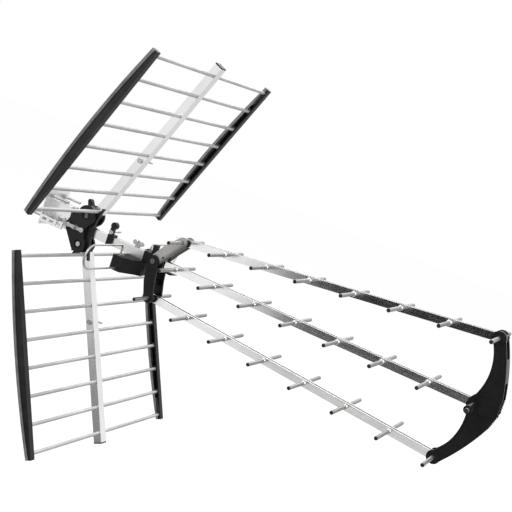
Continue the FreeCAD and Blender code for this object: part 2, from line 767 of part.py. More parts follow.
def folding_arm(label, web, cheeks, bridge, front, tip, holes, placing, slot=None):
    """A moulded fork: two cheeks joined by a bridge, with bosses beside the boom's end.

    web makes the outline, and bridge is its start, end, edge and side in the arm's own frame.
    """
    inner, outer = cheeks
    body = new_body(label + "_body")
    web(body, label, front, "2 * (%s)" % outer)
    begin, stop, edge, side = bridge
    reach = "2 * front_arm_length"
    pocket_polygon(body, label + "_gap", [
        ("-" + reach, side + " * " + reach), (begin, side + " * " + reach),
        (begin, side + " * (%s)" % edge), (stop, side + " * (%s)" % edge),
        (stop, side + " * " + reach), (reach, side + " * " + reach),
        (reach, "-%s * %s" % (side, reach)), ("-" + reach, "-%s * %s" % (side, reach)),
    ], "2 * (%s)" % inner)
    boss = draw_circle(new_sketch(body, label + "_boss", "XZ_Plane"), tip[0], "0", tip[1])
    pad(body, boss, "2 * (%s)" % outer)
    room = draw_circle(new_sketch(body, label + "_room", "XZ_Plane"), tip[0], "0",
                       tip[1] + " + play")
    pocket(body, room, "2 * (channel_half + play)")
    for index, (x, radius) in enumerate(holes):
        pocket_circle(body, "%s_hole_%d" % (label, index), x, "0", radius)
    if slot is not None:
        x = "%s + %s" % (tip[0], slot[0])
        radius = "director_diameter / 2 + " + slot[3]
        sketch = new_sketch(body, label + "_slot", "XZ_Plane")
        draw_tapered(sketch, (x, "-(%s) * %s" % (front, slot[1]), radius),
                     (x, "%s * %s" % (front, slot[2]), radius))
        pocket(body, sketch, ACROSS)
    x, z, angle, axis = placing
    keep(label, place(body, x, "0", z, axis, angle))


def folding_arms():
    """Rear and front arms of the two linkages, with their shared pivots."""
    for level, front, angle, axis in (("upper", "-1", "upper_rest_angle", UP),
                                      ("lower", "1", "lower_rest_angle", DOWN)):
        rear_side = "1" if front == "-1" else "-1"
        folding_arm(level + "_rear_arm", rear_arm_web,
                    (level + "_arm_inner", level + "_arm_outer"),
                    ("(rear_knee_x - rear_bridge / 5)", "(rear_knee_x + rear_bridge * 4 / 5)", "0",
                     rear_side),
                    front, ("rear_arm_length", "cap_length"),
                    [("0", PIN_HOLE), ("rear_arm_length", ROD_HOLE)],
                    ("rear_pivot_x", "0", angle, axis))
    for level, front, angle, axis in (("upper", "-1", "upper_front_angle", UP),
                                      ("lower", "1", "lower_front_angle", DOWN)):
        folding_arm(level + "_front_arm", front_arm_web,
                    ("front_%s_inner" % level, "front_%s_outer" % level),
                    ("front_bridge_start", "(front_bridge_start + front_bridge)", "-2", front),
                    front, ("front_arm_length", "front_tip_radius"), [("0", ROD_HOLE)],
                    ("front_pivot_x", "0", angle, axis),
                    (level + "_slot_offset", level + "_slot_rearward", level + "_slot_forward",
                     level + "_slot_room"))


def pivot_hardware():
    """The rear pivot pin with its heads, and the collars that keep the front arms on their rods."""
    head = "pin_diameter * 0.75"
    grip = "lower_arm_outer + play"
    keep("rear_pivot_pin", fuse("rear_pin_fuse", [
        cross_bar("rear_pin_shank", "pin_diameter / 2", "2 * (%s + arm_wall / 2)" % grip,
                  "rear_pivot_x", "0"),
        round_bar("rear_pin_head_near", head, "arm_wall / 2", "rear_pivot_x",
                  "-(%s) - arm_wall / 2" % grip, "0"),
        round_bar("rear_pin_head_far", head, "arm_wall / 2", "rear_pivot_x", grip, "0"),
    ]))
    for level, angle, axis in (("upper", "upper_pitch", UP), ("lower", "lower_pitch", DOWN)):
        sign = "" if level == "upper" else "-"
        rings = []
        for side, start in (("near", "-(front_%s_outer + play) - collar_thickness" % level),
                            ("far", "front_%s_outer + play" % level)):
            name = "%s_collar_%s" % (level, side)
            rings.append(cut(name,
                             round_bar(name + "_outer", "collar_diameter / 2", "collar_thickness",
                                       "boom_span", start, "0"),
                             round_bar(name + "_bore", "director_diameter / 2",
                                       "3 * collar_thickness", "boom_span",
                                       start + " - collar_thickness", "0")))
        keep(level + "_front_collars", place(group(level + "_collar_group", rings),
                                             level + "_tip_x", "0", sign + level + "_tip_z",
                                             axis, angle))
    end = "-(front_upper_outer + play) - sleeve_length"
    sleeve = fuse("front_sleeve_fuse", [
        round_bar("front_sleeve_outer", "director_diameter", "sleeve_length", "front_pivot_x", end,
                  "0"),
        round_bar("front_sleeve_knob", "1.25 * director_diameter", "cap_length", "front_pivot_x",
                  end, "0")])
    keep("front_pivot_sleeve", cut("front_sleeve_cut", sleeve, round_bar(
        "front_sleeve_bore", "director_diameter / 2", "sleeve_length + 2 * cap_length",
        "front_pivot_x", end + " - cap_length", "0")))


def rear_joint_block():
    """The moulded block that sleeves the main boom's end and carries the rear arms' pin."""
    length = "block_rear + block_front"
    parts = [block("block_body", "rear_pivot_x - block_rear", "-block_half", "-block_half",
                   length, "2 * block_half", "2 * block_half")]
    for side, z in (("top", "block_half"), ("foot", "-post_top")):
        parts.append(block("block_post_" + side, "rear_pivot_x - post_offset - post_length / 2",
                           "-post_width / 2", z, "post_length", "post_width",
                           "post_top - block_half"))
    beak = new_body("block_beak_body")
    start, low = "(rear_pivot_x + block_front - block_wall)", "-block_half"
    pad(beak, draw_outline(new_sketch(beak, "block_beak", "XZ_Plane"), [
        (start, low), (start + " + block_wall + beak_reach", low),
        (start + " + beak_reach * 2 / 3", low + " - beak_drop"), (start, low + " - beak_drop / 2"),
        (start, low + " + block_wall")]), "post_width * 0.75")
    parts.append(beak)
    room = block("block_room", "rear_pivot_x - 2 * block_rear", "-(boom_half + fit_gap)",
                 "-(boom_half + fit_gap)", "4 * block_rear", "2 * (boom_half + fit_gap)",
                 "2 * (boom_half + fit_gap)")
    tools = fuse("block_cuts", [room, cross_bar("block_pin_hole", PIN_HOLE, ACROSS,
                                                "rear_pivot_x", "0")])
    keep("rear_joint_block", cut("block_cut", fuse("block_fuse", parts), tools))


# Reflector

def draw_bow(sketch, x, z, length, rise, end_width, front):
    """A strip with one straight long edge and one bowed rear edge, from its first front corner."""
    last = "%s + %s" % (x, length)
    rear = "%s - (%s) * (%s)" % (z, front, end_width)
    side = -1 if front == "-1" else 1
    return draw_outline(sketch, [(x, z), (last, z), (last, rear), (x, rear)],
                        {2: (arc_radius(rise, length), side)})


def side_bar(label, front, side, placing):
    """A bowed plastic bar whose ribs hold the rods' ends."""
    body = new_body(label + "_body")
    first_x = "(rod_start - bar_end_margin)"
    edge = "%s * (rod_offset + bar_end_width / 2)" % front
    face = "(rod_length / 2 + 2 * play + bar_wall - bar_depth)"
    sketch = new_sketch(body, label + "_outline", "XZ_Plane",
                        face if side == "near" else "-%s - bar_depth" % face)
    draw_bow(sketch, first_x, edge, "bar_length", "(bar_width - bar_end_width)", "bar_end_width",
             front)
    pad(body, sketch, "bar_depth", middle=False)
    open_face = face if side == "near" else "-" + face
    reverse = side == "near"
    cells = new_sketch(body, label + "_cells", "XZ_Plane", open_face)
    high = "%s * (rod_offset + bar_end_width / 2 - bar_wall)" % front
    low = "%s * (rod_offset - bar_end_width / 2 + bar_wall)" % front
    for index in range(RODS - 1):
        begin = "rod_start + %d * rod_pitch + bar_rib / 2" % index
        stop = "rod_start + %d * rod_pitch - bar_rib / 2" % (index + 1)
        draw_outline(cells, [(begin, low), (stop, low), (stop, high), (begin, high)])
    pocket(body, cells, "bar_depth - bar_wall", reverse=reverse, middle=False)
    sockets = new_sketch(body, label + "_sockets", "XZ_Plane", open_face)
    for index in range(RODS):
        draw_circle(sockets, "rod_start + %d * rod_pitch" % index, "%s * rod_offset" % front,
                    ROD_SEAT)
    pocket(body, sockets, "bar_depth - bar_wall", reverse=reverse, middle=False)
    bow = arc_radius("(bar_width - bar_end_width)", "bar_length")
    turn = -1 if front == "-1" else 1
    outer_face = "(%s + bar_depth)" % face
    grooves = new_sketch(body, label + "_grooves", "XZ_Plane",
                         outer_face if side == "near" else "-" + outer_face)
    begin, stop = first_x + " + bar_end_margin / 2", first_x + " + bar_length - bar_end_margin / 2"
    for index in range(GROOVES):
        rear = "(rod_offset - bar_end_width / 2 + bar_groove * (1 + 2 * %d))" % index
        ahead = "(%s + bar_groove)" % rear
        draw_outline(grooves, [(begin, "%s * %s" % (front, ahead)),
                               (stop, "%s * %s" % (front, ahead)),
                               (stop, "%s * %s" % (front, rear)),
                               (begin, "%s * %s" % (front, rear))],
                     {0: (bow, -turn), 2: (bow, turn)})
    pocket(body, grooves, "bar_groove_depth", reverse=side == "far", middle=False)
    keep(label, place(body, *placing))


def panel(level, front, angle, axis, sign):
    """One half of the reflector, built along its beam from the hub's pivot screw."""
    pivot = ("hub_pivot_x", "0", sign + "hub_pivot_z", axis, angle)
    centre = "%s * beam_centre" % front
    clamp_x = "rod_start + panel_bolt_gap * rod_pitch"
    name = level + "_beam"
    body = tube_body(name + "_body", "beam_start", "beam_length", "beam_side", "beam_wall",
                     "(%s)" % centre)
    pocket_row(body, name + "_holes", "rod_start", "rod_pitch", RODS,
               ROD_SEAT, z="%s * rod_offset" % front)
    pocket_circle(body, name + "_clamp_hole", clamp_x, centre, BOLT_HOLE)
    keep(name, place(body, *pivot))

    plug_half = "(beam_side / 2 - beam_wall - fit_gap)"
    foot = new_body(level + "_beam_foot_body")
    eye = "foot_eye_diameter / 2"
    pad_tapered(foot, level + "_foot_root", ("0", "0", eye),
                ("beam_start - beam_side / 2", centre, "beam_side / 2"), "beam_side")
    pad_tapered(foot, level + "_foot_catch", ("0", "0", eye),
                ("catch_along", "-(%s) * catch_across" % front, "catch_radius"), "beam_side / 2")
    plug = new_sketch(foot, level + "_foot_plug", "XZ_Plane")
    draw_outline(plug, [("beam_start - beam_side / 2", "%s - %s" % (centre, plug_half)),
                        ("beam_start + beam_side", "%s - %s" % (centre, plug_half)),
                        ("beam_start + beam_side", "%s + %s" % (centre, plug_half)),
                        ("beam_start - beam_side / 2", "%s + %s" % (centre, plug_half))])
    pad(foot, plug, "2 * " + plug_half)
    pocket_circle(foot, level + "_foot_hole", "0", "0", SCREW_HOLE)
    pocket_circle(foot, level + "_foot_rod_hole", "rod_start", "%s * rod_offset" % front,
                  ROD_SEAT)
    keep(level + "_beam_foot", place(foot, *pivot))

    end = "(beam_start + beam_length)"
    cap = fuse(level + "_cap_fuse", [
        block(level + "_cap_plate", end, "-beam_side / 2", "%s - beam_side / 2" % centre,
              "beam_wall * 2", "beam_side", "beam_side"),
        block(level + "_cap_plug", end + " - beam_side / 2", "-" + plug_half,
              "%s - %s" % (centre, plug_half), "beam_side / 2", "2 * " + plug_half,
              "2 * " + plug_half)])
    keep(level + "_beam_cap", place(cap, *pivot))

    half = "beam_side / 2"
    bolt = fuse(level + "_panel_bolt_fuse", [
        round_bar(level + "_panel_shank", "bolt_diameter / 2", "beam_side + bolt_stand",
                  clamp_x, "-" + half, centre),
        round_bar(level + "_panel_head", "bolt_diameter", "nut_height * 0.7", clamp_x,
                  "-%s - nut_height * 0.7" % half, centre)])
    keep(level + "_panel_bolt", place(bolt, *pivot))

    rods = [tube_across("%s_rod_%d" % (level, index), "rod_diameter / 2", "rod_bore / 2",
                        "rod_length", "rod_start + %d * rod_pitch" % index,
                        "%s * rod_offset" % front) for index in range(RODS)]
    keep(level + "_rods", place(group(level + "_rod_group", rods), *pivot))


def hub_half(label, side):
    """One moulded half of the hub: rear lobe, two pivot lobes and a concave front.

    The near half is deep, has its screws in round recesses and carries the two front horns on
    an inner layer. The far half is a plate.
    """
    body = new_body(label + "_body")
    near = side == "near"
    depth = "hub_half_width" if near else "hub_far_width"
    lift = "boom_half + play" if near else "-(boom_half + play + hub_far_width)"
    for name, z, lobe in (("upper", "hub_pivot_z", "hub_upper_lobe"),
                          ("lower", "-hub_pivot_z", "hub_lower_lobe")):
        sketch = new_sketch(body, "%s_%s" % (label, name), "XZ_Plane", lift)
        draw_tapered(sketch, ("hub_bolt_x - hub_rear_inset", "0", "hub_rear_radius"),
                     ("hub_pivot_x", z, lobe))
        pad(body, sketch, depth, middle=False)
    rear = "(hub_pivot_x - hub_upper_lobe / 2)"
    face = "(hub_pivot_x + hub_face_reach + hub_face_rise%s)" % ("" if near else " - hub_far_setback")
    front = new_sketch(body, label + "_face", "XZ_Plane", lift)
    draw_outline(front, [(face, "hub_face_height"), (face, "-hub_face_height"),
                         (rear, "-(hub_pivot_z + hub_lower_lobe)"), (rear, "hub_pivot_z")],
                 {0: (arc_radius("hub_face_rise", "2 * hub_face_height"), -1)})
    pad(body, front, depth, middle=False)
    if near:
        hub_horns(body, label, lift)
    pocket_circle(body, label + "_bolt_hole", "hub_bolt_x", "0", BOLT_HOLE)
    for name, z in (("upper", "hub_pivot_z"), ("lower", "-hub_pivot_z")):
        pocket_circle(body, "%s_%s_hole" % (label, name), "hub_pivot_x", z, SCREW_HOLE)
        if near:
            recess = new_sketch(body, "%s_%s_recess" % (label, name), "XZ_Plane",
                                "boom_half + play + hub_half_width")
            draw_circle(recess, "hub_pivot_x", z, "screw_recess_radius")
            pocket(body, recess, "screw_recess", middle=False)
    keep(label, body)


def hub_horns(body, label, lift):
    """The inner layer of the near half, whose horns reach round the first rod of each panel."""
    tip, high = "(hub_pivot_x + hub_horn_reach)", "hub_horn_height"
    back = "(%s - hub_horn_width)" % tip
    root = "(hub_pivot_x + hub_face_reach)"
    neck = "(%s - hub_horn_width * 0.8)" % back
    upper = [(back, high), (neck, "hub_face_height + hub_horn_width"),
             (neck + " - hub_horn_width * 0.6", "hub_face_height + play"),
             (root, "hub_face_height - hub_horn_width")]
    lower = [(x, "-(%s)" % z) for x, z in reversed(upper)]
    layer = new_sketch(body, label + "_horns", "XZ_Plane", lift)
    draw_outline(layer, [(tip, high), (tip, "-" + high)] + lower[::-1] + upper[::-1],
                 {0: (arc_radius("hub_horn_rise", "2 * " + high), -1)})
    pad(body, layer, "hub_horn_layer", middle=False)


def hub_hardware():
    """The two slotted pivot screws and the hub's long bolt."""
    reach = "(boom_half + play + hub_half_width)"
    far = "(boom_half + play + hub_far_width)"
    seat = "(%s - screw_recess)" % reach
    for name, z in (("upper", "hub_pivot_z"), ("lower", "-hub_pivot_z")):
        head = round_bar(name + "_screw_head", "screw_head_diameter / 2", "screw_recess",
                         "hub_pivot_x", "-%s - screw_recess" % seat, z)
        slit = block(name + "_screw_slit", "hub_pivot_x - screw_head_diameter",
                     "-%s - screw_recess" % seat, z + " - screw_recess / 4",
                     "2 * screw_head_diameter", "screw_recess / 2", "screw_recess / 2")
        shank = round_bar(name + "_screw_shank", "screw_diameter / 2",
                          "%s + %s + nut_height" % (seat, far), "hub_pivot_x", "-" + seat, z)
        keep(name + "_pivot_screw", fuse(name + "_screw_fuse",
                                         [cut(name + "_screw_cut", head, slit), shank]))
    length = "%s + bolt_stand + %s" % (reach, far)
    keep("hub_bolt", fuse("hub_bolt_fuse", [
        round_bar("hub_bolt_shank", "bolt_diameter / 2", length, "hub_bolt_x",
                  "-%s - bolt_stand" % reach, "0"),
        round_bar("hub_bolt_head", "bolt_diameter", "nut_height * 0.8", "hub_bolt_x", far, "0")]))


def wing_nut(label, x, y, z, axis, angle, reach="wing_reach", flat=False):
    """A round nut with two ears, its seat at the origin of its own frame.

    The ears stand upright, or lie flat on a nut that was stamped with level wings.
    """
    hub = doc.addObject("Part::Cone", label + "_hub")
    bind(hub, "Radius1", "bolt_diameter")
    bind(hub, "Radius2", "bolt_diameter * 0.8")
    bind(hub, "Height", "wing_hub_height")
    parts = [hub]
    half, middle = "wing_thickness / 2", "wing_hub_height * 0.6"
    ear_x = "(%s - wing_ear)" % reach
    for side, sign in (("left", "-"), ("right", "")):
        name = "%s_ear_%s" % (label, side)
        web_x = "-" + ear_x if sign else "0"
        if flat:
            parts.append(round_bar(name, "wing_ear", "wing_thickness", sign + ear_x, "0",
                                   "%s - %s" % (middle, half), "Z"))
            parts.append(block(name + "_web", web_x, "-wing_ear * 0.7", "%s - %s" % (middle, half),
                               ear_x, "wing_ear * 1.4", "wing_thickness"))
        else:
            parts.append(round_bar(name, "wing_ear", "wing_thickness", sign + ear_x,
                                   "-" + half, "wing_hub_height"))
            parts.append(block(name + "_web", web_x, "-" + half, "wing_hub_height - wing_ear",
                               ear_x, "wing_thickness", "wing_ear * 1.4"))
    bore = round_bar(label + "_bore", BOLT_HOLE, "4 * wing_hub_height", "0", "0",
                     "-wing_hub_height", "Z")
    keep(label, place(cut(label + "_cut", fuse(label + "_fuse", parts), bore),
                      x, y, z, axis, angle))


def panel_wing_nut(level, axis, sign, front):
    """The wing nut on a panel's clamp bolt, placed where the bolt leaves the beam."""
    along = "(rod_start + panel_bolt_gap * rod_pitch)"
    across = "(%s * beam_centre)" % front
    angle = level + "_panel_angle"
    lean = "-" if axis is UP else ""
    x = "hub_pivot_x + %s * cos(%s) %s %s * sin(%s)" % (along, angle, lean or "+", across, angle)
    z = "%shub_pivot_z %s %s * sin(%s) + %s * cos(%s)" % (
        sign, "+" if axis is UP else "-", along, angle, across, angle)
    wing_nut(level + "_panel_wing_nut", x, "beam_side / 2 + play", z, Vector(-1, 0, 0), "90")


# Junction box and dipole

def junction_box():
    """A tray and its lid under the main boom, hexagonal in plan."""
    rear, front = "box_rear_x", "(box_rear_x + box_middle_width)"
    end = "(box_rear_x + box_end_width)"
    outline = [(rear, "-box_half_length"), (end, "-box_half_length"), (front, "-box_middle_half"),
               (front, "box_middle_half"), (end, "box_half_length"), (rear, "box_half_length")]
    wall = "box_wall"
    inner = [(rear + " + " + wall, "-(box_half_length - box_wall)"),
             (end + " - " + wall, "-(box_half_length - box_wall)"),
             (front + " - " + wall, "-(box_middle_half - box_wall)"),
             (front + " - " + wall, "box_middle_half - box_wall"),
             (end + " - " + wall, "box_half_length - box_wall"),
             (rear + " + " + wall, "box_half_length - box_wall")]
    tray = new_body("junction_tray_body")
    pad(tray, draw_outline(new_sketch(tray, "tray_outline", "XY_Plane", "box_bottom"), outline),
        "box_split - box_bottom", middle=False)
    cavity = draw_outline(new_sketch(tray, "tray_cavity", "XY_Plane", "box_split"), inner)
    pocket(tray, cavity, "box_split - box_bottom - box_wall", middle=False)
    hole = "dipole_wire / 2 + fit_gap"
    run = new_sketch(tray, "tray_wire_hole", "XZ_Plane")
    draw_circle(run, "dipole_x", "dipole_bottom", hole)
    pocket(tray, run, "4 * box_half_length")
    outlet = new_sketch(tray, "tray_socket_hole", "XY_Plane", "box_split")
    draw_circle(outlet, "dipole_x + 14", "socket_y", "socket_diameter / 2 + fit_gap")
    pocket(tray, outlet, "box_split - box_bottom + 1", middle=False)
    keep("junction_tray", tray)

    lid = new_body("junction_lid_body")
    pad(lid, draw_outline(new_sketch(lid, "lid_outline", "XY_Plane", "box_split"), outline),
        "-boom_half - play - box_split", middle=False)
    riser = new_sketch(lid, "lid_riser_holes", "XY_Plane", "-boom_half")
    for sign in ("-", ""):
        draw_circle(riser, "dipole_x", sign + "dipole_riser_y", hole)
    pocket(lid, riser, "boom_side", middle=False)
    beside = "(block_half + play)"
    recess = new_sketch(lid, "lid_recess", "XY_Plane", "-boom_half")
    draw_outline(recess, [("rear_pivot_x - block_rear - play", "-" + beside),
                          (front + " + play", "-" + beside), (front + " + play", beside),
                          ("rear_pivot_x - block_rear - play", beside)])
    pocket(lid, recess, "block_half - boom_half + play", middle=False)
    bolt = draw_circle(new_sketch(lid, "lid_bolt_hole", "XY_Plane", "-boom_half"), "dipole_x", "0",
                       BOLT_HOLE)
    pocket(lid, bolt, "boom_side", middle=False)
    keep("junction_lid", lid)


def dipole():
    """One round conductor folded into two flat loops, with its feet in the junction box."""
    body = new_body("dipole_body")
    path = new_sketch(body, "dipole_path", "YZ_Plane", "dipole_x")
    top, bottom, riser = "dipole_top", "dipole_bottom", "dipole_riser_y"
    bend, reach = "dipole_corner", "dipole_reach"
    foot = "box_split"
    end_y = number(reach) - number("dipole_end_radius")
    r, k = number(riser), number(bend)
    z_top, z_bottom = number(top), number(bottom)
    middle = (z_top + z_bottom) / 2
    half = 2 ** -0.5
    edges = []
    for sign in (-1, 1):
        points = [Vector(sign * r, number(foot), 0), Vector(sign * r, z_top - k, 0),
                  Vector(sign * (r + k), z_top, 0), Vector(sign * end_y, z_top, 0),
                  Vector(sign * end_y, z_bottom, 0)]
        corner = Vector(sign * (r + k - k * half), z_top - k + k * half, 0)
        crown = Vector(sign * number(reach), middle, 0)
        edges.append((points, corner, crown))
    near, far = edges
    lines = [Part.LineSegment(near[0][0], near[0][1]), Part.Arc(near[0][1], near[1], near[0][2]),
             Part.LineSegment(near[0][2], near[0][3]), Part.Arc(near[0][3], near[2], near[0][4]),
             Part.LineSegment(near[0][4], far[0][4]), Part.Arc(far[0][4], far[2], far[0][3]),
             Part.LineSegment(far[0][3], far[0][2]), Part.Arc(far[0][2], far[1], far[0][1]),
             Part.LineSegment(far[0][1], far[0][0])]
    for line in lines:
        path.addGeometry(line, False)
    profile = new_sketch(body, "dipole_section", "XY_Plane", foot)
    draw_circle(profile, "dipole_x", "-" + riser, "dipole_wire / 2")
    doc.recompute()
    pipe = body.newObject("PartDesign::AdditivePipe", "dipole_pipe")
    pipe.Profile = profile
    pipe.Spine = (path, ["Edge%d" % (index + 1) for index in range(len(lines))])
    keep("dipole_conductor", body)


def box_hardware():
    """The coaxial socket, the terminal screws and the bolt that holds the box to the boom."""
    keep("coax_socket", cut("socket_cut", fuse("socket_fuse", [
        round_bar("socket_barrel", "socket_diameter / 2", "socket_length + box_wall",
                  "dipole_x + 14", "socket_y", "box_bottom - socket_length", "Z"),
        round_bar("socket_flange", "socket_diameter * 0.72", "2",
                  "dipole_x + 14", "socket_y", "box_bottom - 2 - fit_gap", "Z")]),
        round_bar("socket_bore", "socket_diameter * 0.32", "socket_length", "dipole_x + 14",
                  "socket_y", "box_bottom - socket_length - 1", "Z")))
    keep("boom_joint_bolt", fuse("joint_bolt_fuse", [
        round_bar("joint_bolt_shank", "bolt_diameter / 2", "-box_split + boom_half + 15",
                  "dipole_x", "0", "box_split", "Z"),
        round_bar("joint_bolt_head", "bolt_diameter", "4", "dipole_x", "0", "box_split - 4", "Z")]))


def terminal_screws():
    """The two screws in the lid that clamp the dipole's feet."""
    screws = []
    top = "-boom_half - play"
    for side, sign in (("near", "-"), ("far", "")):
        name = "terminal_screw_" + side
        y = sign + "(dipole_riser_y - screw_diameter * 1.6)"
        head = round_bar(name + "_head", "screw_diameter * 0.8", "3", "dipole_x", y, top, "Z")
        slit = block(name + "_slit", "dipole_x - screw_diameter", "%s - 0.5" % y, top + " + 1.8",
                     "2 * screw_diameter", "1", "2")
        screws.append(cut(name, head, slit))
    keep("terminal_screws", group("terminal_screw_group", screws))


def cable_clip():
    """A moulded clip hooked over the boom, with its cross screw."""
    side = "(boom_half + play)"
    near = "-%s - clip_depth" % side
    left = "clip_x - clip_width / 2"
    screw_x, screw_z = "clip_x + clip_width / 5", "%s + clip_screw_height" % side
    parts = [block("clip_leg", left, near, "-boom_half", "clip_width", "clip_depth",
                   "boom_side + play + clip_depth / 2"),
             block("clip_saddle", left, near, side, "clip_width * 1.4", "boom_side",
                   "clip_depth * 0.6"),
             block("clip_neck", "clip_x - clip_width * 0.3", near, side, "clip_width * 0.9",
                   "clip_depth * 1.1", "clip_neck_height"),
             round_bar("clip_knob", "clip_knob_radius", "clip_depth * 1.25",
                       "clip_x + clip_width * 0.4", near + " - play",
                       "%s + clip_neck_height + clip_knob_radius * 0.8" % side)]
    hole = round_bar("clip_hole", SCREW_HOLE, ACROSS, screw_x, "-bracket_width", screw_z)
    keep("cable_clip", cut("clip_cut", fuse("clip_fuse", parts), hole))
    head_y = near + " - screw_recess"
    keep("clip_screw", fuse("clip_screw_fuse", [
        round_bar("clip_screw_shank", "screw_diameter / 2", "clip_screw_length", screw_x, head_y,
                  screw_z),
        round_bar("clip_screw_head", "screw_diameter", "screw_recess", screw_x, head_y, screw_z)]))


main_boom()
middle_boom()
directors("middle", "0", "0", "0", None, "first_director_x")
for level, axis, sign in (("upper", UP, ""), ("lower", DOWN, "-")):
    where = (level + "_tip_x", sign + level + "_tip_z", level + "_pitch", axis)
    outer_boom(level + "_boom", *where)
    directors(level, *where)
rear_joint_block()
folding_arms()
pivot_hardware()
panel("upper", "-1", "upper_panel_angle", UP, "")
panel("lower", "1", "lower_panel_angle", DOWN, "-")
for level, front, angle, axis, sign in (("upper", "-1", "upper_panel_angle", UP, ""),
                                        ("lower", "1", "lower_panel_angle", DOWN, "-")):
    for side in ("near", "far"):
        side_bar("%s_%s_bar" % (level, side), front, side,
                 ("hub_pivot_x", "0", sign + "hub_pivot_z", axis, angle))
hub_half("hub_near_half", "near")
hub_half("hub_far_half", "far")
hub_hardware()
wing_nut("hub_wing_nut", "hub_bolt_x", "-(boom_half + 2 * play + hub_half_width)", "0",
         Vector(1, 0, 0), "90", "hub_wing_reach", flat=True)
wing_nut("boom_wing_nut", "dipole_x", "0", "boom_half + play", None, "0")
for level, axis, sign, front in (("upper", UP, "", "-1"), ("lower", DOWN, "-", "1")):
    panel_wing_nut(level, axis, sign, front)
junction_box()
dipole()
box_hardware()
terminal_screws()
cable_clip()


def finish():
    """Check every object, then write each sub-part."""
    doc.recompute()
    for thing in doc.Objects:
        bad = [state for state in thing.State if state in ("Invalid", "Error")]
        if bad:
            raise RuntimeError("%s is %s" % (thing.Label, bad))
    os.makedirs("parts", exist_ok=True)
    for label, thing in nodes.items():
        shape = thing.Shape
        if shape.isNull() or not shape.isValid():
            raise RuntimeError("%s has no valid shape" % label)
        shape.exportStep("parts/%s.step" % label)


finish()
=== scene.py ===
"""Looks of the outdoor antenna: metals, moulded plastics, small fasteners, light, floor and camera."""
import math

import bmesh
import bpy
from mathutils import Matrix, Vector


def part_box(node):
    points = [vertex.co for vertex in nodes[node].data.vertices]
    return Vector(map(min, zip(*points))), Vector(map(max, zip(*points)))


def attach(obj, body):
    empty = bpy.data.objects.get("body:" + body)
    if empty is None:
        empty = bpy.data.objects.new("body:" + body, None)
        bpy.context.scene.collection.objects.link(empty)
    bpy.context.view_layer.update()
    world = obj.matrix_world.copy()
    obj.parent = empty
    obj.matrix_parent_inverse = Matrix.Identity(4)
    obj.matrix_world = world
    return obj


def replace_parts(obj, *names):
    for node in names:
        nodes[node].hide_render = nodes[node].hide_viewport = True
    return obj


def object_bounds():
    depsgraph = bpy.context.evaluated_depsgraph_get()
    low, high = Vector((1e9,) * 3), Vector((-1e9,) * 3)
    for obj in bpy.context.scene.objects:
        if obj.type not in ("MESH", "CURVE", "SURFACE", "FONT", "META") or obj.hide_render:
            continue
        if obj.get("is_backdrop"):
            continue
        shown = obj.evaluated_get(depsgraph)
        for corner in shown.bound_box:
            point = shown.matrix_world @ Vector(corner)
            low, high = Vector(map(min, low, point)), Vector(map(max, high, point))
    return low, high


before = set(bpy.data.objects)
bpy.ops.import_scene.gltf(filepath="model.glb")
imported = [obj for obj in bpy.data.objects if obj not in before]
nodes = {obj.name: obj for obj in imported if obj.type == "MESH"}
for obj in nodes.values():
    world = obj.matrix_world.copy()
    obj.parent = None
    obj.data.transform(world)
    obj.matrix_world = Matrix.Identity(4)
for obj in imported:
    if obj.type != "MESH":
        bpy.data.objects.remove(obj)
cad_low, cad_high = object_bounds()
scene = bpy.context.scene

# Camera

AZIMUTH, ELEVATION, ROLL = math.radians(23.29), math.radians(9.24), math.radians(19.0)
CAMERA_PLACE, SENSOR_WIDTH, LENS = (1.3461, -1.8505, 0.4240), 36, 68.13
back = Vector((math.sin(AZIMUTH) * math.cos(ELEVATION), -math.cos(AZIMUTH) * math.cos(ELEVATION),
               math.sin(ELEVATION)))
right = Vector((0, 0, 1)).cross(back).normalized()
upward = back.cross(right)
across = math.cos(ROLL) * right + math.sin(ROLL) * upward
above = math.cos(ROLL) * upward - math.sin(ROLL) * right
camera = bpy.data.objects.new("camera", bpy.data.cameras.new("camera"))
camera.matrix_world = Matrix.Translation(CAMERA_PLACE) @ Matrix(
    (across, above, back)).transposed().to_4x4()
camera.data.sensor_width = SENSOR_WIDTH
camera.data.lens = LENS
scene.collection.objects.link(camera)
scene.camera = camera


# Materials

